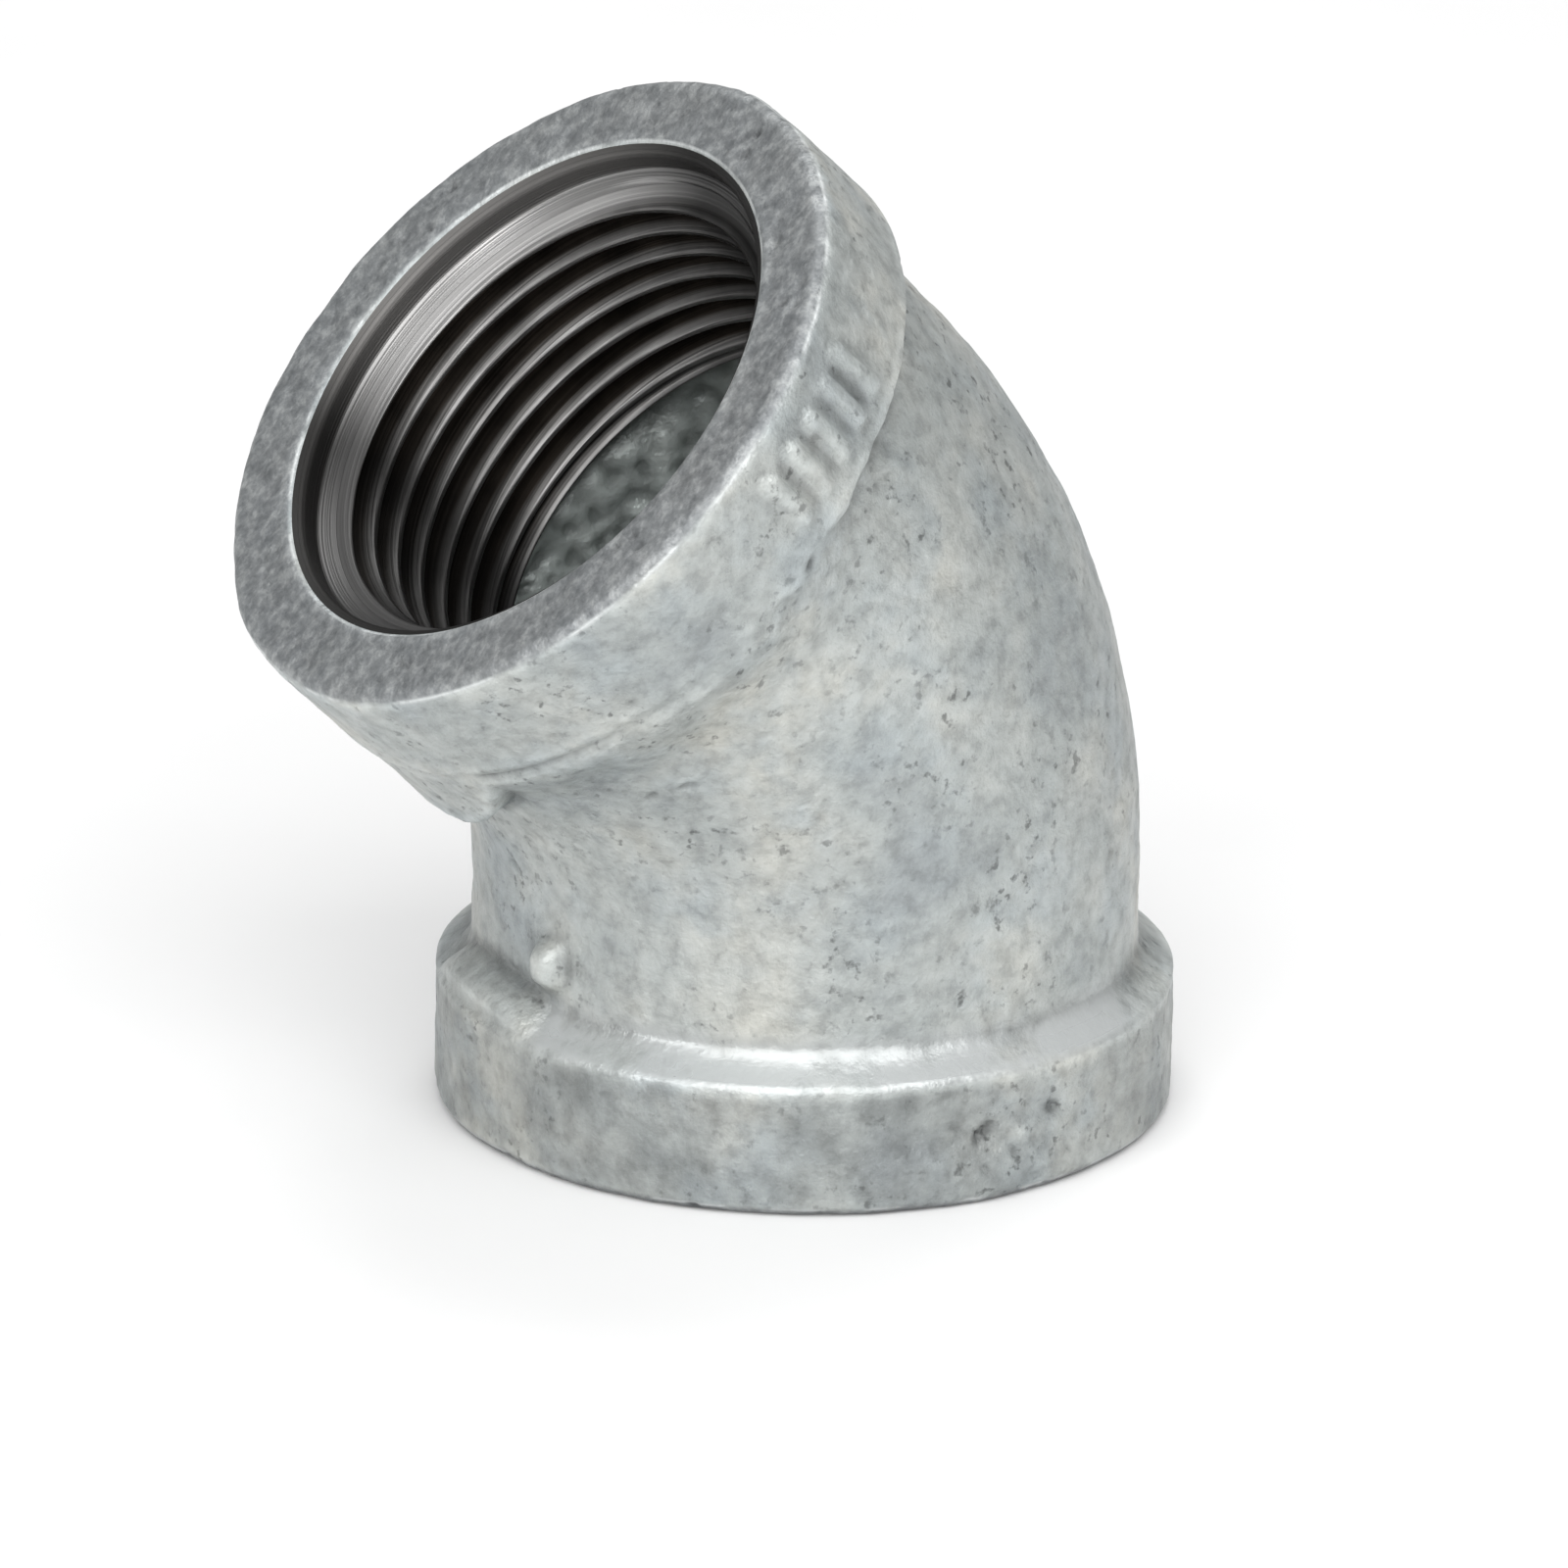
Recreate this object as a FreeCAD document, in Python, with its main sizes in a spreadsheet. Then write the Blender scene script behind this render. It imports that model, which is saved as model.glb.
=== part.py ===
"""45 degree pipe elbow, 1 inch size, female taper threads at both ends.

The whole fitting is one casting, machined at its two ports, so the model is one body:
a tube swept round the bend, a band at each end, a lug in the throat beside each band, a cored
cavity in the middle, and a threaded port bored into each end.

Frame: the origin is the centre of the lower port's end face, +Z runs up the lower leg's axis,
and the elbow's plane is XZ, with the upper leg leaning over towards -X. Sizes are millimetres.
"""
import FreeCAD, Part
import math
import os
import re

import Sketcher

INCH = 25.4
THREADS_PER_INCH = 11.5
THREAD_TAPER = 1 / 16  # on the diameter
SAME_LENGTH = 1e-6  # mm
NO_CHANGE = 1e-3  # mm3

DIMENSIONS = {
    # the elbow as a whole
    "bend_angle": 45.0,
    "centre_to_end": 28.4,  # from the point where the two axes cross to either end face
    "bend_tangent": 12.5,  # length of each straight that the bend replaces
    # the casting
    "band_diameter": 45.0,
    "band_width": 8.2,
    "shoulder_width": 1.9,  # the slope from a band down to the body
    "body_diameter": 40.6,
    "wall": 3.4,
    "edge_round": 0.9,
    # the lugs in the throat, left where the mould was fed; each reach is from its end face
    "lower_lug_reach": 11.4,
    "lower_lug_angle": 44.0,
    "upper_lug_reach": 15.6,
    "upper_lug_angle": 44.0,
    "lug_drop": 0.2,
    "lug_round": 1.2,
    # the machined ports, from the end face inwards
    "mouth_diameter": 35.9,
    "mouth_chamfer": 0.6,
    "recess_diameter": 34.2,
    "recess_depth": 2.0,
    "lead_in": 1.1,  # the cone between the recess and the thread
    "thread_depth": 17.5,
    "core_step": 1.2,  # the cone between the thread and the cavity
    # the thread
    "thread_pitch": INCH / THREADS_PER_INCH,
    "pitch_diameter": 31.46,  # at the end face
    "flank_angle": 30.0,
    "crest_flat": 0.3,
    "root_flat": 0.15,
    "taper_angle": math.degrees(math.atan(THREAD_TAPER / 2)),
    "cutter_start": 0.6,  # in the open recess
    "cutter_overrun": 2.4,  # on into the cavity
    "cutter_margin": 0.1,  # how far the cutter stands in from the crests
}

# Expressions: the thread's radii at a given depth, and the radius and depth of what lies behind.
TAPER = "tan( taper_angle )"
CREST_RADIUS = ("pitch_diameter / 2 - ( thread_pitch / 2 - crest_flat ) / ( 2 * tan( flank_angle ) )"
                f" - ( {{depth}} ) * {TAPER}")
ROOT_RADIUS = ("pitch_diameter / 2 + ( thread_pitch / 2 - root_flat ) / ( 2 * tan( flank_angle ) )"
               f" - ( {{depth}} ) * {TAPER}")
CAVITY_RADIUS = "body_diameter / 2 - wall"
CAVITY_DEPTH = "thread_depth + core_step"
BEND_DEPTH = "centre_to_end - bend_tangent"


# The sketcher's numbers for its origin, and for the points of a line or an arc.
ORIGIN = -1
START, END, ARC_CENTRE = 1, 2, 3


def make_sheet(doc):
    """The driving dimensions as a spreadsheet, with a name and an aliased value on each row."""
    sheet = doc.addObject("Spreadsheet::Sheet", "Dimensions")
    for row, (name, value) in enumerate(DIMENSIONS.items(), start=1):
        sheet.set(f"A{row}", name)
        sheet.set(f"B{row}", f"{value:.8g}")
        sheet.setAlias(f"B{row}", name)
    doc.recompute()


def sized(expression):
    """The expression with each driving dimension read from the sheet."""
    def cell(word):
        return f"Dimensions.{word[0]}" if word[0] in DIMENSIONS else word[0]
    return re.sub(r"[a-z_]+", cell, expression)


# Places in the elbow's plane: a depth in from an end face along that leg's axis, and an offset
# from that axis towards the throat. Each returns expressions for (across, up).
def on_lower_leg(depth, offset="0"):
    return f"-( {offset} )", depth


def on_upper_leg(depth, offset="0"):
    along = f"( centre_to_end - ( {depth} ) )"
    across = f"-{along} * sin( bend_angle ) - ( {offset} ) * cos( bend_angle )"
    up = f"centre_to_end + {along} * cos( bend_angle ) - ( {offset} ) * sin( bend_angle )"
    return across, up


LEGS = {"lower": on_lower_leg, "upper": on_upper_leg}


def make_sketch(body, name, role):
    plane = next(plane for plane in body.Origin.OriginFeatures if plane.Role == role)
    sketch = body.newObject("Sketcher::SketchObject", name)
    sketch.AttachmentSupport = [(plane, "")]
    sketch.MapMode = "FlatFace"
    return sketch


def pin(sketch, kind, geometry, point, distance):
    """Holds a point of a sketch at a distance from the origin, given as an expression."""
    name = f"{kind}_{geometry}_{point}"
    value = float(sketch.evalExpression(sized(distance)))
    index = sketch.addConstraint(Sketcher.Constraint(kind, ORIGIN, START, geometry, point, value))
    sketch.renameConstraint(index, name)
    sketch.setExpression(f"Constraints.{name}", sized(distance))


def pin_point(sketch, geometry, point, place):
    across, up = place
    pin(sketch, "DistanceX", geometry, point, across)
    pin(sketch, "DistanceY", geometry, point, up)


def outline_sketch(body, name, leg, corners):
    """A closed straight-sided outline beside a leg's axis, which the sketch holds as Axis0."""
    sketch = make_sketch(body, name, "XZ_Plane")
    count = len(corners)
    turn = 2 * math.pi / count
    rough = [FreeCAD.Vector(math.cos(turn * i), math.sin(turn * i), 0) for i in range(count)]
    for i in range(count):
        sketch.addGeometry(Part.LineSegment(rough[i], rough[(i + 1) % count]), False)
    for i, (depth, offset) in enumerate(corners):
        sketch.addConstraint(Sketcher.Constraint("Coincident", i, END, (i + 1) % count, START))
        pin_point(sketch, i, START, LEGS[leg](depth, offset))
    axis = sketch.addGeometry(Part.LineSegment(rough[0], rough[1] * 2), True)
    pin_point(sketch, axis, START, LEGS[leg]("0"))
    pin_point(sketch, axis, END, LEGS[leg]("centre_to_end"))
    return sketch


def turned(body, kind, name, leg, corners, angle="360"):
    """A PartDesign Revolution or Groove of an outline about a leg's axis, centred on the throat."""
    sketch = outline_sketch(body, f"{name}_outline", leg, corners)
    feature = body.newObject(f"PartDesign::{kind}", name)
    feature.Profile = sketch
    feature.ReferenceAxis = (sketch, ["Axis0"])
    feature.Midplane = True
    feature.setExpression("Angle", sized(angle))
    return feature


def bend_arc(body, name, depth):
    """The bend's centre line: one arc that meets each axis, at a tangent, at the given depth."""
    sketch = make_sketch(body, name, "XZ_Plane")
    size = DIMENSIONS["centre_to_end"]
    circle = Part.Circle(FreeCAD.Vector(-size, size, 0), FreeCAD.Vector(0, 0, 1), size)
    arc = sketch.addGeometry(Part.ArcOfCircle(circle, 0, math.radians(DIMENSIONS["bend_angle"])), False)
    radius = f"( centre_to_end - ( {depth} ) ) / tan( bend_angle / 2 )"
    pin_point(sketch, arc, ARC_CENTRE, on_lower_leg(depth, radius))
    pin_point(sketch, arc, START, on_lower_leg(depth))
    pin(sketch, "DistanceY", arc, END, on_upper_leg(depth)[1])
    return sketch


def swept(body, kind, name, radius, depth):
    """A round bar along the bend, from one depth to the other, added to the body or taken from it."""
    section = make_sketch(body, f"{name}_section", "XY_Plane")
    section.setExpression("AttachmentOffset.Base.z", sized(depth))
    circle = section.addGeometry(Part.Circle(FreeCAD.Vector(0, 0, 0), FreeCAD.Vector(0, 0, 1), 1.0), False)
    section.addConstraint(Sketcher.Constraint("Coincident", circle, ARC_CENTRE, ORIGIN, START))
    section.addConstraint(Sketcher.Constraint("Radius", circle, 1.0))
    section.renameConstraint(1, "radius")
    section.setExpression("Constraints.radius", sized(radius))
    path = bend_arc(body, f"{name}_path", depth)
    feature = body.newObject(f"PartDesign::{kind}", name)
    feature.Profile = section
    feature.Spine = (path, ["Edge1"])
    return feature


def round_edges(body, name, radius, chosen):
    """Rounds those edges of the body so far that chosen() accepts."""
    body.Document.recompute()
    base = body.Tip
    edges = [f"Edge{i}" for i, edge in enumerate(base.Shape.Edges, start=1) if chosen(edge)]
    feature = body.newObject("PartDesign::Fillet", name)
    feature.Base = (base, edges)
    feature.setExpression("Radius", sized(radius))
    return feature


def is_band_edge(edge):
    """True for the circles that bound a band's outer wall."""
    size = DIMENSIONS["band_diameter"] / 2
    return isinstance(edge.Curve, Part.Circle) and abs(edge.Curve.Radius - size) < SAME_LENGTH


def add_leg(body, leg):
    """The band, its sloping shoulder and the straight neck behind it."""
    turned(body, "Revolution", f"{leg}_leg", leg, (
        ("0", "0"),
        ("0", "band_diameter / 2"),
        ("band_width", "band_diameter / 2"),
        ("band_width + shoulder_width", "body_diameter / 2"),
        (BEND_DEPTH, "body_diameter / 2"),
        (BEND_DEPTH, "0"),
    ))


def add_lug(body, leg):
    """A pad nearly as high as the band, which runs on from the band into the throat."""
    root = "body_diameter / 2 - wall / 2"
    top = "band_diameter / 2 - lug_drop"
    reach = f"{leg}_lug_reach"
    turned(body, "Revolution", f"{leg}_lug", leg, (
        ("band_width / 2", root),
        ("band_width / 2", top),
        (f"{reach} - lug_round", top),
        (reach, f"{top} - lug_round"),
        (reach, root),
    ), f"{leg}_lug_angle")


def bore_port(body, leg):
    """The machined hole: chamfered mouth, plain recess, lead-in cone, taper and core step."""
    thread_top = "recess_depth + lead_in"
    turned(body, "Groove", f"{leg}_port", leg, (
        ("-mouth_chamfer", "0"),
        ("-mouth_chamfer", "mouth_diameter / 2"),
        ("0", "mouth_diameter / 2"),
        ("mouth_chamfer", "recess_diameter / 2"),
        ("recess_depth", "recess_diameter / 2"),
        (thread_top, CREST_RADIUS.format(depth=thread_top)),
        ("thread_depth", CREST_RADIUS.format(depth="thread_depth")),
        (CAVITY_DEPTH, CAVITY_RADIUS),
        (CAVITY_DEPTH, "0"),
    ))


def cut_thread(body, leg):
    """The groove of the right-hand taper thread, cut along a conical helix."""
    root_half = "root_flat / 2"
    crest_half = "( thread_pitch - crest_flat ) / 2 + cutter_margin * tan( flank_angle )"
    root = ROOT_RADIUS.format(depth="cutter_start")
    crest = CREST_RADIUS.format(depth="cutter_start") + " - cutter_margin"
    section = outline_sketch(body, f"{leg}_cutter", leg, (
        (f"cutter_start - ( {crest_half} )", crest),
        (f"cutter_start - {root_half}", root),
        (f"cutter_start + {root_half}", root),
        (f"cutter_start + {crest_half}", crest),
    ))
    thread = body.newObject("PartDesign::SubtractiveHelix", f"{leg}_thread")
    thread.Profile = section
    thread.ReferenceAxis = (section, ["Axis0"])
    thread.Mode = "pitch-height-angle"
    thread.LeftHanded = False
    thread.Reversed = False
    thread.setExpression("Pitch", sized("thread_pitch"))
    thread.setExpression("Height", sized("thread_depth + cutter_overrun - cutter_start"))
    thread.setExpression("Angle", sized("-taper_angle"))


def make_casting(doc):
    body = doc.addObject("PartDesign::Body", "elbow_casting")
    body.Label = "elbow_casting"
    swept(body, "AdditivePipe", "bend", "body_diameter / 2", BEND_DEPTH)
    for leg in LEGS:
        add_leg(body, leg)
    round_edges(body, "band_rounding", "edge_round", is_band_edge)
    for leg in LEGS:
        add_lug(body, leg)
    swept(body, "SubtractivePipe", "cavity", CAVITY_RADIUS, CAVITY_DEPTH)
    for leg in LEGS:
        bore_port(body, leg)
    for leg in LEGS:
        cut_thread(body, leg)
    return body


def check(doc, nodes):
    """Stops if any object failed, or if a sub-part is not one valid solid."""
    failed = [thing.Name for thing in doc.Objects if {"Invalid", "Error"} & set(thing.State)]
    if failed:
        raise RuntimeError(f"failed objects: {failed}")
    for node in nodes:
        shape = node.Shape
        if shape.isNull() or not shape.isValid() or len(shape.Solids) != 1:
            raise RuntimeError(f"{node.Label} is not one valid solid")


def check_cuts(body):
    """Stops if a cutting feature took nothing away, or an adding one added nothing."""
    steps = [step for step in body.Group if hasattr(step, "BaseFeature") and step.BaseFeature]
    for step in steps:
        change = step.Shape.Volume - step.BaseFeature.Shape.Volume
        print(f"{step.Name}: volume changed by {change:.1f} mm3")
        if abs(change) < NO_CHANGE:
            raise RuntimeError(f"{step.Name} changed nothing")


def main():
    doc = FreeCAD.newDocument("pipe_elbow")
    make_sheet(doc)
    casting = make_casting(doc)
    doc.recompute()
    check(doc, [casting])
    check_cuts(casting)
    os.makedirs("parts", exist_ok=True)
    casting.Shape.exportStep(f"parts/{casting.Label}.step")
    box = casting.Shape.optimalBoundingBox()
    print(f"{casting.Label}: {casting.Shape.Volume:.0f} mm3, "
          f"{box.XLength:.1f} x {box.YLength:.1f} x {box.ZLength:.1f} mm")


main()
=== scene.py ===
"""The looks of a galvanized 45 degree pipe elbow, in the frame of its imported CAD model.

The casting's skin is one closed grid of rings. They run along the outside from the lower end face to
the upper one, in through the upper port's thread, back round the cavity and out through the lower port.
Lengths in the mesh code are millimetres, and the finished mesh is in metres. Angles round a ring start
at the throat, on the inside of the bend, and -90 degrees is the camera's side, -Y.
"""

import math

import bpy
import numpy as np
from mathutils import Matrix, Vector, noise


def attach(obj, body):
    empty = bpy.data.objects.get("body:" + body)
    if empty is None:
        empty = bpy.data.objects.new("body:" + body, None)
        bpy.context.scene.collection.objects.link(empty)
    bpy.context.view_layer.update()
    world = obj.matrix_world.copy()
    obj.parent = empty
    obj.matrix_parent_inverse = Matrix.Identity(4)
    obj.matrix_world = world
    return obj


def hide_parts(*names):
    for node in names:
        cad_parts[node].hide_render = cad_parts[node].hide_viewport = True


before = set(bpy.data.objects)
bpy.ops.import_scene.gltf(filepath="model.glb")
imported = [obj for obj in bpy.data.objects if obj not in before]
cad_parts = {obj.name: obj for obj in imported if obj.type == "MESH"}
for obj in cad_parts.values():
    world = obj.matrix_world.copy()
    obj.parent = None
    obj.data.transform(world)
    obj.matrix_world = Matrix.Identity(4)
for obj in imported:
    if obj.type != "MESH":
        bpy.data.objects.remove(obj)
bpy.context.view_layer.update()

MM = 0.001
NODE = "elbow_casting"

# The elbow's dimensions, the same as the CAD model's.
BEND = math.radians(45)
CENTRE_TO_END = 28.4
BEND_START = 15.9
BAND_RADIUS = 22.5
BAND_WIDTH = 8.2
SHOULDER = 1.9
BODY_RADIUS = 20.3
CAVITY_RADIUS = 16.9
EDGE_ROUND = 0.9
MOUTH_RADIUS = 17.95
MOUTH_CHAMFER = 0.6
RECESS_RADIUS = 17.1
RECESS_DEPTH = 2.0
LEAD_IN = 1.1
THREAD_DEPTH = 17.5
CORE_STEP = 1.2

# The taper pipe thread: 11.5 to the inch, 60 degree form, 1 in 16 on the diameter.
PITCH = 25.4 / 11.5
PITCH_RADIUS = 15.73
RADIUS_TAPER = 1 / 32
FLANK = math.radians(30)
CREST_FLAT = 0.3
ROOT_FLAT = 0.15
RUN_OUT = 1.0

# How closely the rings and the points on each ring lie.
POINTS_ROUND = 400
SKIN_STEP = 0.3
BORE_STEP = 0.1
EDGE_RINGS = 7

# The camera, as seen from the elbow.
SENSOR_WIDTH = 36.0
CLIP = (0.01, 20.0)
AZIMUTH = math.radians(-30.8)
ELEVATION = math.radians(20.0)
ROLL = math.radians(0.57)
DISTANCE = 1.17
TARGET = Vector((-5, 0, 25)) * MM
VIEW_WIDTH = 94.9 * MM
SHIFT = (0.0303, -0.0452)


# The path that the rings follow.

def on_path(distance, tangent_depth):
    """The centre and throatward direction of a ring, this far along a path that bends from tangent_depth."""
    bend_radius = (CENTRE_TO_END - tangent_depth) / math.tan(BEND / 2)
    turned = min(max((distance - tangent_depth) / bend_radius, 0), BEND)
    before = min(distance, tangent_depth)
    after = max(distance - tangent_depth - bend_radius * BEND, 0)
    centre = np.array([
        bend_radius * (math.cos(turned) - 1) - after * math.sin(turned),
        0,
        before + bend_radius * math.sin(turned) + after * math.cos(turned),
    ])
    throatward = np.array([-math.cos(turned), 0, -math.sin(turned)])
    return centre, throatward


def path_length(tangent_depth):
    """The length of that path, from one end face to the other."""
    bend_radius = (CENTRE_TO_END - tangent_depth) / math.tan(BEND / 2)
    return 2 * tangent_depth + bend_radius * BEND


# The angle of each point on a ring, from 0 up, and the same from -180 to 180 degrees.
ANGLES = np.linspace(0, 2 * math.pi, POINTS_ROUND, endpoint=False)
SIGNED_ANGLES = np.where(ANGLES > math.pi, ANGLES - 2 * math.pi, ANGLES)
SIDEWAYS = np.array([0, 1, 0])

# What the materials read at each point: how far out in the thread's groove it is, how much of it is
# end face, its depth in a port in mm, whether it is in the cavity, how much darker it is coloured, and how
# much zinc has pooled there, which is also painted lighter as a highlight.
SHOWN = ("groove", "face", "depth", "cavity", "dirt", "pool")


class Rings:
    """The grid's rings, in order, with what each point of them shows."""

    def __init__(self):
        self.points = []
        self.grain = []
        self.shown = {name: [] for name in SHOWN}

    def add(self, centre, throatward, radius, grain, **shown):
        """grain is how rough the casting is here. What isn't given in shown is 0."""
        radius = np.broadcast_to(radius, ANGLES.shape)
        across = np.outer(radius * np.cos(ANGLES), throatward)
        along_y = np.outer(radius * np.sin(ANGLES), SIDEWAYS)
        self.points.append(centre + across + along_y)
        self.grain.append(all_round(grain))
        for name, kept in self.shown.items():
            kept.append(all_round(shown.get(name, 0.0)))


def all_round(value):
    """One value for each point of a ring."""
    return np.broadcast_to(value, ANGLES.shape).astype(float)


def smooth(value, low, high):
    """0 below low, 1 above high, and a smooth step between."""
    share = np.clip((value - low) / (high - low), 0, 1)
    return share * share * (3 - 2 * share)


# The outside.

# Each lug: the depth where it leaves its band, how far it goes on, its angle, half its width, and the
# width of its sloping edge. LUG_DROP is how far its top lies under the band's.
UPPER_LUG = (9.0, 6.8, 0.0, math.radians(25), 0.9)
LOWER_LUG = (8.8, 2.6, math.radians(7), math.radians(21), 2.0)
LUG_DROP = 0.2

# The nub's place, size and height.
NUB_DEPTH = 12.7
NUB_ANGLE = math.radians(-10.5)
NUB_HALF_LENGTH = 1.3
NUB_HALF_WIDTH = 1.0
NUB_HEIGHT = 1.3


def lug(depth, start, reach, angle, half, edge):
    """How much of a lug stands at each angle: a tongue on the throat side, with a round end."""
    across = np.clip(1 - ((SIGNED_ANGLES - angle) / half) ** 2, 0, 1)
    end = start + reach * np.sqrt(across)
    inside = (end - depth) * np.where(across > 0, 1, 0)
    return smooth(inside, 0, edge)


# The tally marks: the angles of their bars, and half a bar's width, its two ends' depths, its height and
# the width of its sloping sides.
TALLY_COUNT = 5
TALLY_FIRST = math.radians(-121)
TALLY_SPACING = math.radians(6.0)
TALLY_HALF = 0.55
TALLY_FROM, TALLY_TO = 2.2, 6.8
TALLY_HEIGHT = 0.45
TALLY_SLOPE = 0.4


def tally_marks(depth):
    """How much of a tally mark stands at each angle: plain raised bars on the upper band."""
    begun = smooth(depth, TALLY_FROM, TALLY_FROM + TALLY_SLOPE)
    along = begun * (1 - smooth(depth, TALLY_TO - TALLY_SLOPE, TALLY_TO))
    bars = np.zeros_like(ANGLES)
    for count in range(TALLY_COUNT):
        off = np.abs(SIGNED_ANGLES - TALLY_FIRST - count * TALLY_SPACING) * BAND_RADIUS
        bar = 1 - smooth(off, TALLY_HALF - TALLY_SLOPE / 2, TALLY_HALF + TALLY_SLOPE / 2)
        bars = np.maximum(bars, bar)
    return along * bars


def nub(depth):
    """The height of a small rounded bump at one corner of the lower lug."""
    off = (SIGNED_ANGLES - NUB_ANGLE) * BODY_RADIUS / NUB_HALF_WIDTH
    along = (depth - NUB_DEPTH) / NUB_HALF_LENGTH
    return NUB_HEIGHT * np.exp(-off ** 4 - along ** 4)


SHOULDER_HOLLOW = 1.5  # 1 would be a straight cone


def band_share(depth):
    """1 on a band and 0 on the body, with a hollow shoulder between."""
    down = np.clip((depth - BAND_WIDTH) / SHOULDER, 0, 1)
    return (1 - down) ** SHOULDER_HOLLOW


# Where the upper band runs out softly, how long it takes, and the cosines between which it goes from hard
# to soft. Then the crease behind it: how deep it is as a share of the band's height, and where it lies.
SOFT_ANGLE = math.radians(-48)
SOFT_SHOULDER = 6.5
SOFT_FROM, SOFT_TO = 0.35, 0.9
CREASE = 0.17
CREASE_DEPTH = 8.7
CREASE_WIDTH = 0.38
CREASE_ANGLE = math.radians(-30)
CREASE_HALF_ANGLE = math.radians(38)


def upper_band_share(depth):
    """The same for the upper band, which on one side runs out softly into the body, past a crease."""
    down = np.clip((depth - BAND_WIDTH) / SOFT_SHOULDER, 0, 1)
    across = math.exp(-((depth - CREASE_DEPTH) / CREASE_WIDTH) ** 2)
    creased = CREASE * across * np.exp(-((SIGNED_ANGLES - CREASE_ANGLE) / CREASE_HALF_ANGLE) ** 2)
    soft = 1 - smooth(down, 0, 1) - creased
    softness = smooth(np.cos(SIGNED_ANGLES - SOFT_ANGLE), SOFT_FROM, SOFT_TO)
    return band_share(depth) + (soft - band_share(depth)) * softness


# Each rough patch: its middle depth, half its length, its angle, half its width, and how rough it is.
LUMPS_BY_MARKS = (9.4, 2.4, math.radians(-94), math.radians(32), 3.0)
LUMPS_ON_BAND = (3.6, 2.6, math.radians(-94), math.radians(12), 3.6)


def lumps(depth, middle, half, angle, half_angle, amount):
    """How much rougher the skin is in one patch, at each angle."""
    along = math.exp(-((depth - middle) / half) ** 2)
    return amount * along * np.exp(-((SIGNED_ANGLES - angle) / half_angle) ** 2)


# The zinc's pool, which is also a painted highlight: the angles and depths where it starts and has its
# full strength, and the same at its end.
POOL_AND_HIGHLIGHT_ANGLES = (math.radians(-118) - 0.3, math.radians(-118), math.radians(-13), math.radians(-13) + 0.08)
POOL_AND_HIGHLIGHT_DEPTHS = (BAND_WIDTH - 0.3, BAND_WIDTH + 0.1, 9.0, 11.5)


def between(value, start, risen, falling, end):
    """1 between risen and falling, 0 outside start and end, and smooth steps between."""
    return smooth(value, start, risen) * (1 - smooth(value, falling, end))


def pool(lower_depth):
    """Where smooth zinc has pooled on the lower band's shoulder, at the front, and is painted bright there
    as a highlight.
    """
    return between(lower_depth, *POOL_AND_HIGHLIGHT_DEPTHS) * between(SIGNED_ANGLES, *POOL_AND_HIGHLIGHT_ANGLES)


def outside_radius(lower_depth, upper_depth):
    """The smooth outside's radius all round, this deep from each end face."""
    shares = (
        np.full_like(ANGLES, band_share(lower_depth)),
        upper_band_share(upper_depth),
    )
    lugs = (
        lug(lower_depth, *LOWER_LUG),
        lug(upper_depth, *UPPER_LUG),
    )
    band = BODY_RADIUS + (BAND_RADIUS - BODY_RADIUS) * np.maximum(*shares)
    raised = BODY_RADIUS + (BAND_RADIUS - LUG_DROP - BODY_RADIUS) * np.maximum(*lugs)
    bumped = BODY_RADIUS + nub(lower_depth)
    tallies = TALLY_HEIGHT * tally_marks(upper_depth)
    return np.maximum(np.maximum(band, raised), bumped) + tallies


# How rough the skin and the end faces are, how much smoother some places on the skin are, how wide the
# edge of the lower band's darker colour is, and the turn up to which a rounded edge looks like face.
SKIN_GRAIN = 1.0
FACE_GRAIN = 1.7
SHOULDER_SMOOTHING = 0.6
SHOULDER_SMOOTH_DEPTHS = (BAND_WIDTH - 0.6, BAND_WIDTH, BAND_WIDTH, BAND_WIDTH + 3)
POOL_SMOOTHING = 0.8
TALLY_SMOOTHING = 0.7
DARKER_FADES = 0.8
FACE_TURN_FROM, FACE_TURN_TO = math.radians(45), math.radians(80)


def skin_grain(lower_depth, upper_depth):
    """How rough the cast skin is at each angle, this deep from each end face."""
    on_shoulder = between(min(lower_depth, upper_depth), *SHOULDER_SMOOTH_DEPTHS)
    grain = SKIN_GRAIN * (1 - SHOULDER_SMOOTHING * on_shoulder) * (1 - POOL_SMOOTHING * pool(lower_depth))
    grain = grain + lumps(upper_depth, *LUMPS_BY_MARKS) + lumps(lower_depth, *LUMPS_ON_BAND)
    return grain * (1 - TALLY_SMOOTHING * tally_marks(upper_depth))


def spaced(start, stop, step):
    """Evenly spaced values from start to stop, about this far apart."""
    return np.linspace(start, stop, max(2, round(abs(stop - start) / step) + 1))


def face_share(turn):
    """How much a rounded edge still looks like the end face, this far round from it."""
    return 1 - smooth(turn, FACE_TURN_FROM, FACE_TURN_TO)


def rounded_edge(turn):
    """The depth and radius of a band's rounded edge, this far round from the end face."""
    return EDGE_ROUND * (1 - math.cos(turn)), BAND_RADIUS - EDGE_ROUND * (1 - math.sin(turn))


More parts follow.
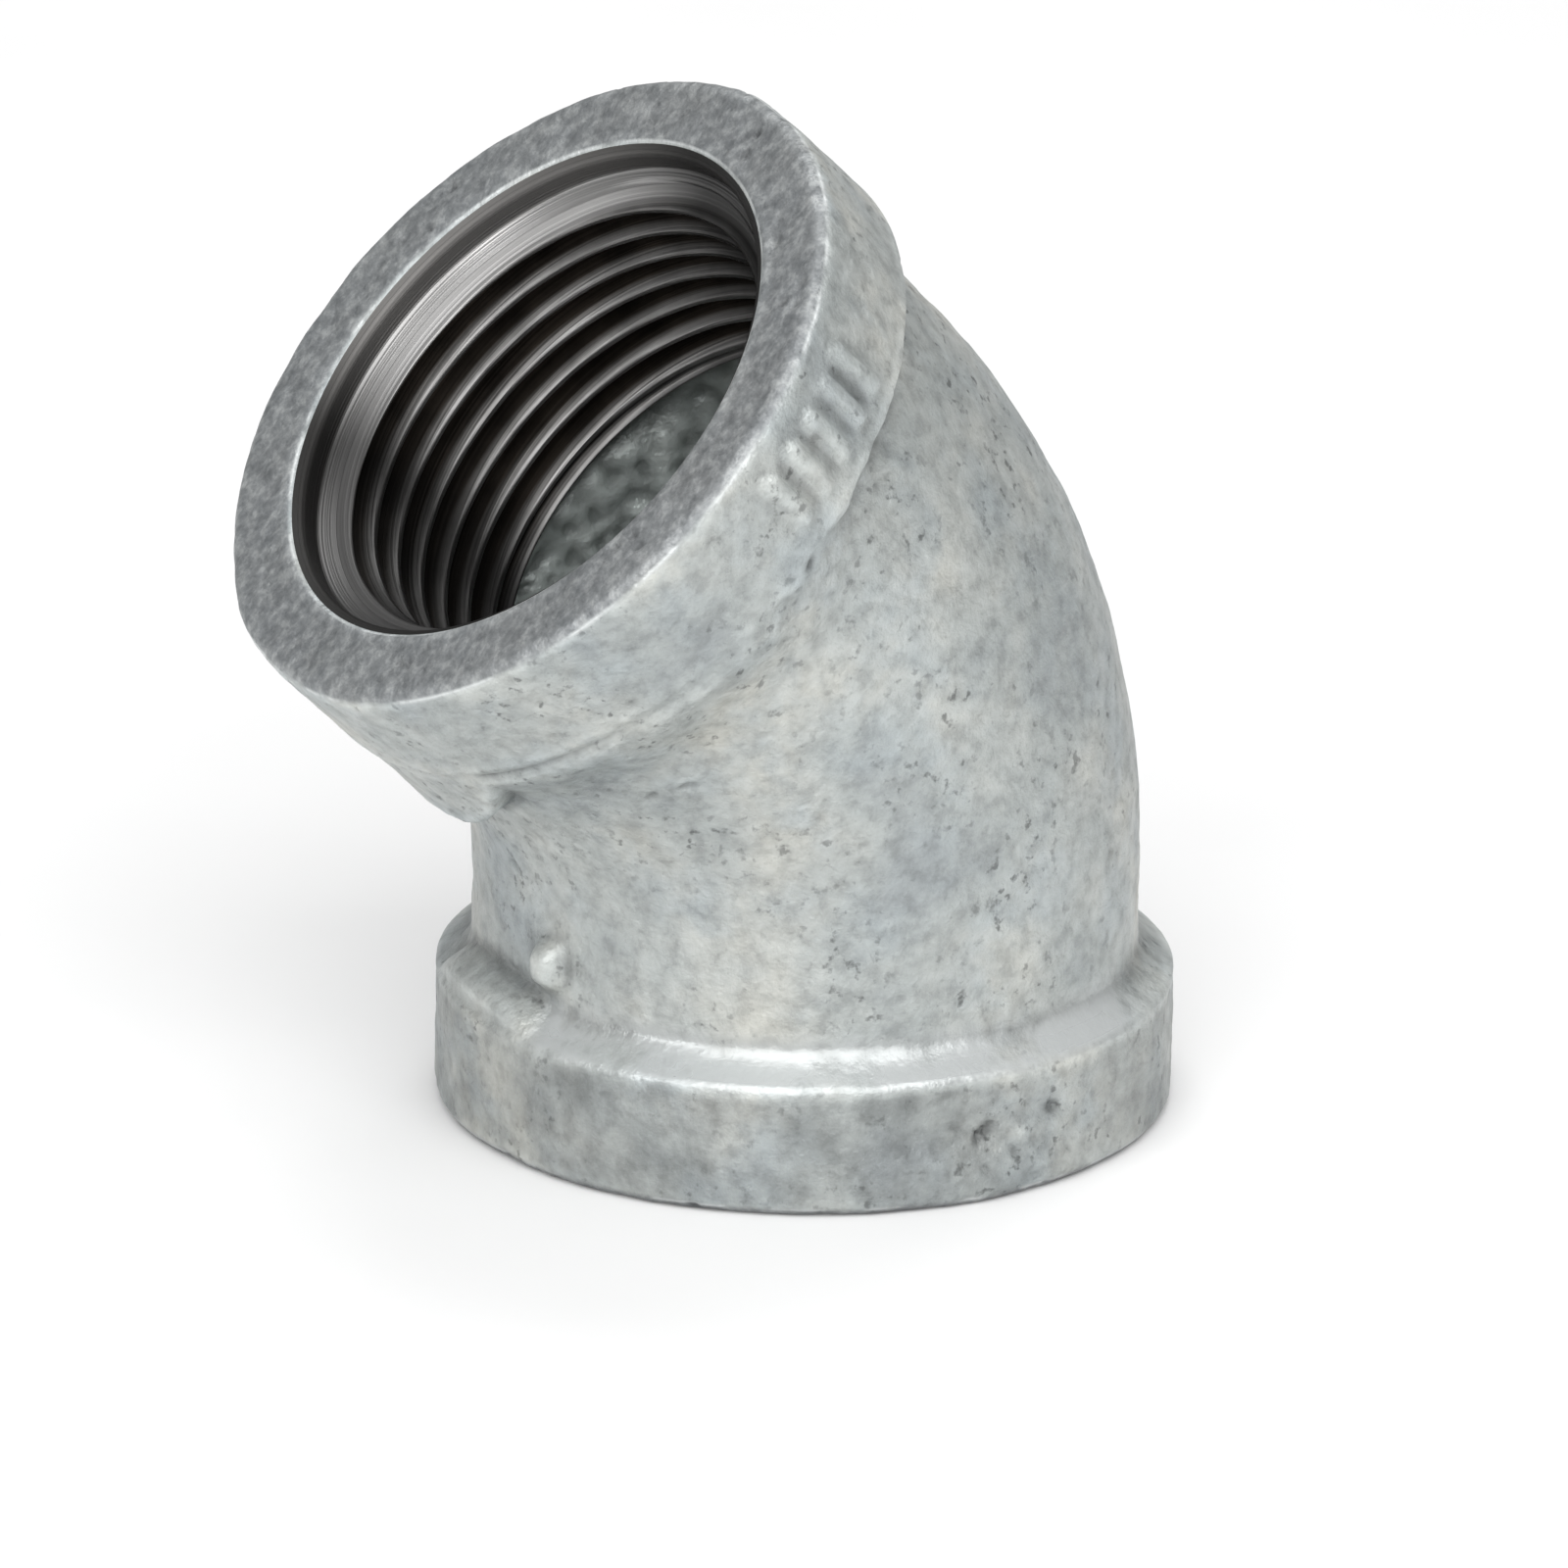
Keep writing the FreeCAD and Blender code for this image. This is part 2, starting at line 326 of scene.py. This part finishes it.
def add_outside(rings):
    """From the lower end face's edge to the upper one's. The lower band is coloured darker."""
    length = path_length(BEND_START)
    for turn in np.linspace(0, math.pi / 2, EDGE_RINGS, endpoint=False):
        depth, radius = rounded_edge(turn)
        rings.add(*on_path(depth, BEND_START), radius, SKIN_GRAIN, face=face_share(turn), dirt=1)
    for distance in spaced(EDGE_ROUND, length - EDGE_ROUND, SKIN_STEP):
        radius = outside_radius(distance, length - distance)
        grain = skin_grain(distance, length - distance)
        on_band = 1 - smooth(distance, BAND_WIDTH - DARKER_FADES, BAND_WIDTH)
        rings.add(*on_path(distance, BEND_START), radius, grain, dirt=on_band, pool=pool(distance))
    for turn in np.linspace(math.pi / 2, 0, EDGE_RINGS + 1)[1:]:
        depth, radius = rounded_edge(turn)
        rings.add(*on_path(length - depth, BEND_START), radius, SKIN_GRAIN, face=face_share(turn))


# The ports.

# The depth of a thread crest at the throat, and where in the ports the iron is not coloured darker: round
# this angle, between these cosines from it.
UPPER_THREAD_START = 0.26
LOWER_THREAD_START = 0.9
PALE_PORT_ANGLE = math.radians(118)
PALE_PORT_FROM, PALE_PORT_TO = 0.5, 0.98


def crest_radius(depth):
    """The thread's inner radius, at its crests."""
    height = (PITCH / 2 - CREST_FLAT) / (2 * math.tan(FLANK))
    return PITCH_RADIUS - height - depth * RADIUS_TAPER


def root_radius(depth):
    """The thread's outer radius, at its roots."""
    height = (PITCH / 2 - ROOT_FLAT) / (2 * math.tan(FLANK))
    return PITCH_RADIUS + height - depth * RADIUS_TAPER


def plain_radius(depth):
    """The bore before its thread is cut: the chamfer, the recess, the lead-in, and the taper."""
    thread_top = RECESS_DEPTH + LEAD_IN
    return np.interp(
        depth,
        (0, MOUTH_CHAMFER, RECESS_DEPTH, thread_top, THREAD_DEPTH, THREAD_DEPTH + CORE_STEP),
        (MOUTH_RADIUS, RECESS_RADIUS, RECESS_RADIUS, crest_radius(thread_top), crest_radius(THREAD_DEPTH),
         CAVITY_RADIUS),
    )


def bore(depth, start, turn_sign):
    """The bore's radius all round at this depth, and how far out in the thread's groove each point is."""
    crest_at = start + turn_sign * PITCH * ANGLES / (2 * math.pi)
    off_crest = np.abs((depth - crest_at + PITCH / 2) % PITCH - PITCH / 2)
    full = root_radius(depth) - crest_radius(depth)
    cut = np.clip((off_crest - CREST_FLAT / 2) / math.tan(FLANK), 0, full)
    fading = 1 - smooth(depth, THREAD_DEPTH - RUN_OUT, THREAD_DEPTH)
    radius = np.maximum(plain_radius(depth), crest_radius(depth) + cut * fading)
    threaded = depth > RECESS_DEPTH + LEAD_IN / 2
    return radius, np.clip((radius - crest_radius(depth)) / full, 0, 1) * threaded


MOUTH_SMOOTH_WIDTH = 1.0  # of the strip where the end face gets rougher


def add_face(rings, distance, outwards):
    """The flat end ring, from its mouth to its rounded edge, or the other way."""
    radii = spaced(MOUTH_RADIUS, BAND_RADIUS - EDGE_ROUND, SKIN_STEP)
    for radius in radii[:-1] if outwards else radii[-2::-1]:
        inner = smooth(radius, MOUTH_RADIUS, MOUTH_RADIUS + MOUTH_SMOOTH_WIDTH)
        rings.add(*on_path(distance, BEND_START), radius, FACE_GRAIN * inner, face=1)


def bore_depths():
    """The depths of a port's rings, from just inside its mouth to the cavity."""
    thread_top = RECESS_DEPTH + LEAD_IN
    return np.concatenate([
        spaced(MOUTH_CHAMFER / 3, MOUTH_CHAMFER, MOUTH_CHAMFER / 3),
        spaced(MOUTH_CHAMFER, RECESS_DEPTH, SKIN_STEP)[1:],
        spaced(RECESS_DEPTH, THREAD_DEPTH, BORE_STEP)[1:],
        spaced(THREAD_DEPTH, THREAD_DEPTH + CORE_STEP, SKIN_STEP)[1:],
    ])


def add_port(rings, upper):
    """The upper port is added from its mouth inwards, and the lower one from the cavity outwards."""
    length = path_length(THREAD_DEPTH + CORE_STEP)
    depths = bore_depths() if upper else bore_depths()[::-1]
    start = UPPER_THREAD_START if upper else LOWER_THREAD_START
    port_darker = 1 - smooth(np.cos(SIGNED_ANGLES - PALE_PORT_ANGLE), PALE_PORT_FROM, PALE_PORT_TO)
    for depth in depths:
        radius, groove = bore(depth, start, 1 if upper else -1)
        distance = length - depth if upper else depth
        place = on_path(distance, THREAD_DEPTH + CORE_STEP)
        rings.add(*place, radius, 0.0, groove=groove, depth=depth, dirt=port_darker)


CAVITY_GRAIN = 9.0
CAVITY_GRAIN_RISE = 1.5  # the distance in which the cavity gets as rough as that


def add_cavity(rings):
    """The rough cast cavity, from the upper port back to the lower one."""
    inner = THREAD_DEPTH + CORE_STEP
    length = path_length(inner)
    for distance in spaced(length - inner, inner, SKIN_STEP)[1:-1]:
        near_end = min(distance - inner, length - inner - distance)
        grain = CAVITY_GRAIN * smooth(near_end, 0, CAVITY_GRAIN_RISE)
        rings.add(*on_path(distance, inner), CAVITY_RADIUS, grain, cavity=1)


# The mesh.

# The cast skin's waves, each with its size in mm, its height in mm, its octaves and its seed.
WAVES = (
    (9.0, 0.12, 2, 11.0),
    (3.4, 0.07, 2, 31.0),
    (1.3, 0.042, 3, 47.0),
)
# The pits: their size, the size of the patches that they come in, their depth, and how high the noise is
# where a pit and a patch begin and where they are full. DEEPEST_PITS is the most that grain deepens them.
PIT_SIZE = 0.8
PIT_PATCH_SIZE = 7.0
PIT_DEPTH = 0.16
PIT_SEED = 29.0
PIT_BEGINS, PIT_FULL = 0.36, 0.66
PATCH_BEGINS, PATCH_FULL = -0.1, 0.3
DEEPEST_PITS = 2.5


def roughness_of(points):
    """How far the cast skin stands proud at each point, and how deep it is pitted there, in mm."""
    height = np.zeros(len(points))
    for size, amount, octaves, seed in WAVES:
        shift = Vector((seed, -seed, seed / 2))
        height += amount * np.array([noise.fractal(p / size + shift, 1.0, 2.0, octaves) for p in points])
    shift = Vector((PIT_SEED, PIT_SEED / 3, -PIT_SEED))
    pits = np.array([noise.noise(p / PIT_SIZE + shift) for p in points])
    patches = np.array([noise.noise(p / PIT_PATCH_SIZE + shift) for p in points])
    pitted = smooth(pits, PIT_BEGINS, PIT_FULL) * smooth(patches, PATCH_BEGINS, PATCH_FULL)
    return height, PIT_DEPTH * pitted


def grid_normals(points):
    """The outward normal at each point of the closed grid."""
    along = np.roll(points, -1, axis=0) - np.roll(points, 1, axis=0)
    around = np.roll(points, -1, axis=1) - np.roll(points, 1, axis=1)
    normals = np.cross(along, around)
    return normals / np.maximum(np.linalg.norm(normals, axis=2, keepdims=True), 1e-9)


def blurred(values, times):
    """The grid's values, each averaged with its neighbours, this many times over."""
    for _ in range(times):
        for axis in (0, 1):
            values = (np.roll(values, 1, axis=axis) + 2 * values + np.roll(values, -1, axis=axis)) / 4
    return values


# How many points away the bulge is measured, the least width in mm that it is divided by, and its blur.
RIDGE_REACH = 2
RIDGE_LEAST_WIDTH = 0.05
RIDGE_BLUR = 2


def ridges(points, normals):
    """How convex the skin is: over 0 on edges and bumps, under 0 in pits and inside corners."""
    bulge = np.zeros(points.shape[:2])
    for axis in (0, 1):
        before = np.roll(points, RIDGE_REACH, axis=axis)
        after = np.roll(points, -RIDGE_REACH, axis=axis)
        width = np.linalg.norm(after - before, axis=2)
        off_line = np.einsum("ijk,ijk->ij", points - (before + after) / 2, normals)
        bulge += off_line / np.maximum(width, RIDGE_LEAST_WIDTH)
    return blurred(bulge, RIDGE_BLUR)


def all_rings():
    """The whole casting's rings, in order round its section."""
    rings = Rings()
    add_outside(rings)
    add_face(rings, path_length(BEND_START), outwards=False)
    add_port(rings, upper=True)
    add_cavity(rings)
    add_port(rings, upper=False)
    add_face(rings, 0.0, outwards=True)
    return rings


def roughened(points, normals, grain):
    """The points with the cast skin's waves and pits, and none of them under the surface it stands on."""
    rough = grain > 0
    height = np.zeros(grain.shape)
    waves, pits = roughness_of([Vector(p) for p in points[rough]])
    height[rough] = waves * grain[rough] - pits * np.minimum(grain[rough], DEEPEST_PITS)
    points = points + normals * height[..., None]
    points[..., 2] = np.maximum(points[..., 2], 0)
    return points


def grid_faces(count):
    """The four corners of each face of a closed grid of this many rings."""
    row = np.arange(count)[:, None]
    column = np.arange(POINTS_ROUND)[None, :]
    next_row = (row + 1) % count
    next_column = (column + 1) % POINTS_ROUND
    corners = [r * POINTS_ROUND + c for r, c in (
        (row, column), (next_row, column), (next_row, next_column), (row, next_column))]
    return np.stack(corners, axis=-1).reshape(-1, 4)


def casting_mesh():
    """The whole skin. Its first material is the cast skin, and its second the machined iron."""
    rings = all_rings()
    smooth_points = np.array(rings.points)
    normals = grid_normals(smooth_points)
    points = roughened(smooth_points, normals, np.array(rings.grain))
    faces = grid_faces(len(points))

    mesh = bpy.data.meshes.new("elbow_skin")
    mesh.from_pydata((points * MM).reshape(-1, 3).tolist(), [], faces.tolist())
    mesh.polygons.foreach_set("use_smooth", np.ones(len(faces), bool))
    for name, values in (*rings.shown.items(), ("ridge", ridges(points, normals))):
        attribute = mesh.attributes.new(name, "FLOAT", "POINT")
        attribute.data.foreach_set("value", np.array(values, np.float32).ravel())
    in_port = (np.array(rings.shown["depth"]) > 0).astype(np.int32)
    machined = np.minimum(in_port, np.roll(in_port, -1, axis=0))
    mesh.polygons.foreach_set("material_index", machined.ravel())
    mesh.update()
    return mesh


# The materials. Noise scales are in cells per metre, and bump distances in metres.

MIX_SHARE, MIX_FIRST, MIX_SECOND, MIX_RESULT = 0, 6, 7, 2


class Nodes:
    """A material's node tree, with short calls for the few kinds of node used here."""

    def __init__(self, name):
        self.material = bpy.data.materials.new(name)
        self.material.use_nodes = True
        self.tree = self.material.node_tree
        self.shader = self.tree.nodes["Principled BSDF"]

    def node(self, kind, inputs=None, **settings):
        """A new node. An input is another node's socket, to link, or a value."""
        made = self.tree.nodes.new(kind)
        for name, value in settings.items():
            setattr(made, name, value)
        for name, value in (inputs or {}).items():
            if isinstance(value, bpy.types.NodeSocket):
                self.tree.links.new(value, made.inputs[name])
            else:
                made.inputs[name].default_value = value
        return made

    def noise(self, place, scale, detail=4.0, roughness=0.55):
        """Noise from 0 to 1, mostly near 0.5."""
        made = self.node("ShaderNodeTexNoise", {
            "Vector": place, "Scale": scale, "Detail": detail, "Roughness": roughness})
        return made.outputs["Fac"]

    def ramp(self, value, *stops):
        """stops are (position, colour or grey)."""
        made = self.node("ShaderNodeValToRGB", {"Fac": value})
        line = made.color_ramp.elements
        while len(line) < len(stops):
            line.new(0.5)
        for element, (position, colour) in zip(line, stops):
            element.position = position
            element.color = (*colour, 1) if isinstance(colour, tuple) else (colour, colour, colour, 1)
        return made.outputs["Color"]

    def mix(self, share, first, second, blend="MIX"):
        """Two colours mixed. A Mix node has several sockets of each name, so they go by number."""
        inputs = {MIX_SHARE: share, MIX_FIRST: first, MIX_SECOND: second}
        made = self.node("ShaderNodeMix", inputs, data_type="RGBA", blend_type=blend)
        return made.outputs[MIX_RESULT]

    def times(self, colour, factor):
        """The colour times a grey factor, which may be over 1."""
        return self.mix(1.0, colour, factor, "MULTIPLY")

    def math(self, operation, first, second):
        return self.node("ShaderNodeMath", {0: first, 1: second}, operation=operation).outputs[0]

    def bump(self, height, distance, strength, normal=None):
        """A bumped normal, on top of another one if that is given."""
        inputs = {"Height": height, "Distance": distance, "Strength": strength}
        if normal is not None:
            inputs["Normal"] = normal
        return self.node("ShaderNodeBump", inputs).outputs["Normal"]

    def attribute(self, name):
        """What the mesh shows at each point: one of SHOWN, or ridge."""
        return self.node("ShaderNodeAttribute", attribute_name=name).outputs["Fac"]

    def shade(self, **sockets):
        """Sets or links the shader's own sockets."""
        for name, value in sockets.items():
            socket = self.shader.inputs[name.replace("_", " ")]
            if isinstance(value, bpy.types.NodeSocket):
                self.tree.links.new(value, socket)
            else:
                socket.default_value = value


# Shades are stops for a ramp: the noise's value, and a linear colour there.
ZINC_SHADES = (
    (0.32, (0.31, 0.335, 0.34)),
    (0.45, (0.36, 0.384, 0.378)),
    (0.56, (0.40, 0.418, 0.405)),
    (0.70, (0.44, 0.443, 0.41)),
)
# The end faces' colours: partly their own darker zinc and partly painted shade.
FACE_SHADES = (
    (0.32, (0.100, 0.107, 0.112)),
    (0.50, (0.165, 0.173, 0.178)),
    (0.68, (0.280, 0.290, 0.292)),
)
IRON_SHADES = (
    (0.35, (0.19, 0.186, 0.182)),
    (0.65, (0.29, 0.286, 0.282)),
)
# Painted shade: the thread's grooves, nearly black.
GROOVE_SHADES = (
    (0.35, (0.010, 0.008, 0.006)),
    (0.65, (0.035, 0.028, 0.022)),
)
BLUE_ZINC = (0.338, 0.375, 0.388, 1)
# A painted highlight for the rounded edges round the end faces.
EDGE_HIGHLIGHT_ZINC = (0.56, 0.58, 0.58, 1)
# A painted highlight for the pooled zinc on the lower band's shoulder.
POOL_HIGHLIGHT_ZINC = (0.48, 0.50, 0.50, 1)
# Painted light: the cavity's paler colour.
CAVITY_PAINTED_LIGHT = (0.55, 0.60, 0.58, 1)
RECESS_IRON = (0.16, 0.155, 0.15, 1)
LEAD_IN_IRON = (0.46, 0.455, 0.45, 1)
POOLED_ROUGHNESS = (0.27, 0.27, 0.27, 1)
RECESS_ROUGHNESS = (0.5, 0.5, 0.5, 1)
FACE_DARKENING = 0.9
CAVITY_PAINTED_LIGHT_SHARE = 0.8
RIDGE_GAIN, RIDGE_MIDDLE = 4.0, 0.5


def clouded_zinc(n, place):
    """Clouds of grey, blue, green and straw, with a fine mottle and patches of dark specks."""
    colour = n.ramp(n.noise(place, scale=110, detail=4, roughness=0.5), *ZINC_SHADES)
    blue = n.ramp(n.noise(place, scale=170, detail=3), (0.50, 0.0), (0.68, 0.6))
    colour = n.mix(blue, colour, BLUE_ZINC)
    mottle = n.noise(place, scale=800, detail=4, roughness=0.6)
    colour = n.times(colour, n.ramp(mottle, (0.34, 0.80), (0.50, 1.0), (0.66, 1.12)))
    wash = n.noise(place, scale=55, detail=3)
    colour = n.times(colour, n.ramp(wash, (0.36, 0.92), (0.64, 1.08)))
    specks = n.ramp(n.noise(place, scale=1300, detail=3, roughness=0.55), (0.31, 0.42), (0.41, 1.0))
    speckled = n.ramp(n.noise(place, scale=150, detail=3), (0.42, 0.2), (0.60, 1.0))
    return n.mix(speckled, colour, n.times(colour, specks))


def faced(n, place, colour):
    """The same with darker end faces, partly their own colour and partly painted shade, a patchy painted
    highlight round their edges, and painted light that makes the cavity paler.
    """
    face = n.attribute("face")
    # The end faces darker, partly in their own colour and partly as painted shade.
    dark = n.ramp(n.noise(place, scale=1200, detail=4, roughness=0.65), *FACE_SHADES)
    colour = n.mix(n.math("MULTIPLY", face, FACE_DARKENING), colour, dark)
    # A patchy painted highlight along the rounded edges round the end faces.
    rim = n.ramp(face, (0.05, 0.0), (0.5, 1.0), (0.95, 0.0))
    edge_highlight = n.math("MULTIPLY", rim, n.ramp(n.noise(place, scale=320, detail=4), (0.44, 0.0), (0.56, 0.75)))
    colour = n.mix(edge_highlight, colour, EDGE_HIGHLIGHT_ZINC)
    # Painted light: the cavity is coloured paler than the skin outside.
    return n.mix(n.math("MULTIPLY", n.attribute("cavity"), CAVITY_PAINTED_LIGHT_SHARE), colour, CAVITY_PAINTED_LIGHT)


def painted_light_and_wear(n, place, colour):
    """The same, brighter on edges as wear and painted highlight, darker in hollows and creases as painted
    shade, and with the lower band darker in mottled patches.
    """
    # Painted highlight on edges and bumps, partly wear, and painted shade in pits, creases and hollows.
    edges = n.math("ADD", n.math("MULTIPLY", n.attribute("ridge"), RIDGE_GAIN), RIDGE_MIDDLE)
    colour = n.times(colour, n.ramp(edges, (0.05, 0.62), (0.44, 1.0), (0.56, 1.0), (0.90, 1.22)))
    # The lower band coloured darker, in mottled patches.
    darker_mottle = n.ramp(n.noise(place, scale=260, detail=4), (0.35, 0.66), (0.65, 0.94))
    return n.mix(n.attribute("dirt"), colour, n.times(colour, darker_mottle))


def zinc():
    """Rough cast iron under hot-dip zinc, smoother where the zinc pooled, and painted brighter there as a
    highlight.
    """
    n = Nodes("zinc_skin")
    place = n.node("ShaderNodeTexCoord").outputs["Object"]
    colour = painted_light_and_wear(n, place, faced(n, place, clouded_zinc(n, place)))
    patches = n.ramp(n.noise(place, scale=200, detail=3), (0.38, 0.35), (0.52, 1.0))
    pool_and_highlight_share = n.math("MULTIPLY", n.attribute("pool"), patches)
    # Painted highlight: the pooled zinc at the front of the lower band's shoulder is coloured lighter.
    colour = n.mix(pool_and_highlight_share, colour, POOL_HIGHLIGHT_ZINC)
    rough = n.ramp(n.noise(place, scale=420, detail=4), (0.3, 0.36), (0.7, 0.56))
    rough = n.mix(pool_and_highlight_share, rough, POOLED_ROUGHNESS)
    uneven = n.ramp(pool_and_highlight_share, (0.0, 0.65), (1.0, 0.15))
    broad_noise = n.noise(place, scale=420, detail=4, roughness=0.55)
    fine_noise = n.noise(place, scale=1500, detail=4, roughness=0.6)
    broad = n.bump(broad_noise, distance=0.0005, strength=uneven)
    fine = n.bump(fine_noise, distance=0.00022, strength=uneven, normal=broad)
    n.shade(Base_Color=colour, Roughness=rough, Normal=fine, Metallic=0.35)
    return n.material


def cut_iron():
    """Bare iron, turned and threaded: bright on the lead-in and crests, and brown-black in the grooves as
    painted shade.
    """
    n = Nodes("cut_iron")
    place = n.node("ShaderNodeTexCoord").outputs["Object"]
    groove = n.attribute("groove")
    depth = n.attribute("depth")
    depth_share = n.math("DIVIDE", depth, THREAD_DEPTH)
    turning = n.node("ShaderNodeTexNoise", {"W": depth, "Scale": 9.0, "Detail": 3.0}, noise_dimensions="1D")
    turned = turning.outputs["Fac"]
    stain = n.noise(place, scale=260, detail=4)
    in_groove = n.ramp(groove, (0.05, 0.0), (0.45, 1.0))
    # Painted shade: the thread's grooves are coloured nearly black.
    colour = n.mix(in_groove, n.ramp(stain, *IRON_SHADES), n.ramp(stain, *GROOVE_SHADES))
    in_recess = n.ramp(depth_share, (0.10, 1.0), (0.115, 0.0))
    colour = n.mix(in_recess, colour, RECESS_IRON)
    in_lead = n.ramp(depth_share, (0.112, 0.0), (0.12, 1.0), (0.165, 1.0), (0.18, 0.0))
    colour = n.mix(in_lead, colour, LEAD_IN_IRON)
    # Each port coloured darker all round but for one side.
    colour = n.times(colour, n.ramp(n.attribute("dirt"), (0.0, 0.9), (1.0, 0.16)))
    colour = n.times(colour, n.ramp(turned, (0.35, 0.80), (0.65, 1.15)))
    rough = n.mix(in_recess, n.ramp(groove, (0.0, 0.32), (0.6, 0.65)), RECESS_ROUGHNESS)
    fine = n.bump(turned, distance=0.00008, strength=0.5)
    n.shade(Base_Color=colour, Roughness=rough, Normal=fine, Metallic=0.85)
    return n.material


def floor_paper():
    """Pale matt paper, which glows a little to lift its shadows."""
    n = Nodes("floor_paper")
    place = n.node("ShaderNodeTexCoord").outputs["Object"]
    colour = n.ramp(n.noise(place, scale=30, detail=2), (0.3, 0.75), (0.7, 0.77))
    n.shade(Base_Color=colour, Roughness=0.9, Emission_Color=(1, 1, 1, 1), Emission_Strength=0.05)
    return n.material


# The scene.

# In metres. The floor lies just under the casting, so that their faces don't coincide.
FLOOR_HALF = 4.0
FLOOR_DROP = 0.00002
LAMP_DISTANCE = 0.9
# Each lamp's name, azimuth and elevation in degrees, size in metres and power in watts.
LAMPS = (
    ("key", -24, 42, 1.1, 11.2),
    ("mouth", -78, 24, 0.25, 1.5),
    ("top", 150, 66, 0.50, 2.8),
)
# The height of a direction in the sky, from 0 at the horizon to 1 overhead, and how bright it is there.
SKY = ((0.15, 0.12), (0.60, 0.52))


def add_casting():
    """The elbow's skin, in place of the CAD casting."""
    skin = bpy.data.objects.new("elbow_skin", casting_mesh())
    bpy.context.collection.objects.link(skin)
    skin.data.materials.append(zinc())
    skin.data.materials.append(cut_iron())
    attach(skin, "root")
    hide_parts(NODE)


def add_floor():
    mesh = bpy.data.meshes.new("floor")
    corners = [(x * FLOOR_HALF, y * FLOOR_HALF, 0) for x, y in ((-1, -1), (1, -1), (1, 1), (-1, 1))]
    mesh.from_pydata(corners, [], [(0, 1, 2, 3)])
    floor = bpy.data.objects.new("floor", mesh)
    floor.location.z = -FLOOR_DROP
    mesh.materials.append(floor_paper())
    bpy.context.collection.objects.link(floor)


def towards(azimuth, elevation):
    """The direction from the elbow to something at this azimuth and elevation."""
    return Vector((
        math.sin(azimuth) * math.cos(elevation),
        -math.cos(azimuth) * math.cos(elevation),
        math.sin(elevation),
    ))


def add_lamp(name, azimuth, elevation, size, power):
    """A soft square lamp that points at the elbow."""
    data = bpy.data.lights.new(name, "AREA")
    data.size = size
    data.energy = power
    lamp = bpy.data.objects.new(name, data)
    back = towards(math.radians(azimuth), math.radians(elevation))
    lamp.location = TARGET + back * LAMP_DISTANCE
    lamp.rotation_mode = "QUATERNION"
    lamp.rotation_quaternion = back.to_track_quat("Z", "Y")
    bpy.context.collection.objects.link(lamp)


def add_sky():
    """A grey studio, darker below than above."""
    world = bpy.data.worlds.new("studio")
    world.use_nodes = True
    tree = world.node_tree
    place = tree.nodes.new("ShaderNodeTexCoord").outputs["Generated"]
    split = tree.nodes.new("ShaderNodeSeparateXYZ")
    ramp = tree.nodes.new("ShaderNodeValToRGB")
    for element, (position, grey) in zip(ramp.color_ramp.elements, SKY):
        element.position = position
        element.color = (grey, grey, grey, 1)
    tree.links.new(place, split.inputs[0])
    tree.links.new(split.outputs["Z"], ramp.inputs["Fac"])
    tree.links.new(ramp.outputs["Color"], tree.nodes["Background"].inputs["Color"])
    bpy.context.scene.world = world


def add_camera():
    data = bpy.data.cameras.new("camera")
    data.sensor_width = SENSOR_WIDTH
    data.lens = data.sensor_width * DISTANCE / VIEW_WIDTH
    data.shift_x, data.shift_y = SHIFT
    data.clip_start, data.clip_end = CLIP
    camera = bpy.data.objects.new("camera", data)
    back = towards(AZIMUTH, ELEVATION)
    camera.location = TARGET + back * DISTANCE
    camera.rotation_mode = "QUATERNION"
    level = back.to_track_quat("Z", "Y")
    camera.rotation_quaternion = level @ Matrix.Rotation(ROLL, 3, "Z").to_quaternion()
    bpy.context.collection.objects.link(camera)
    bpy.context.scene.camera = camera


add_camera()
for lamp in LAMPS:
    add_lamp(*lamp)
add_sky()
add_floor()
add_casting()
bpy.context.scene.view_settings.view_transform = "Standard"
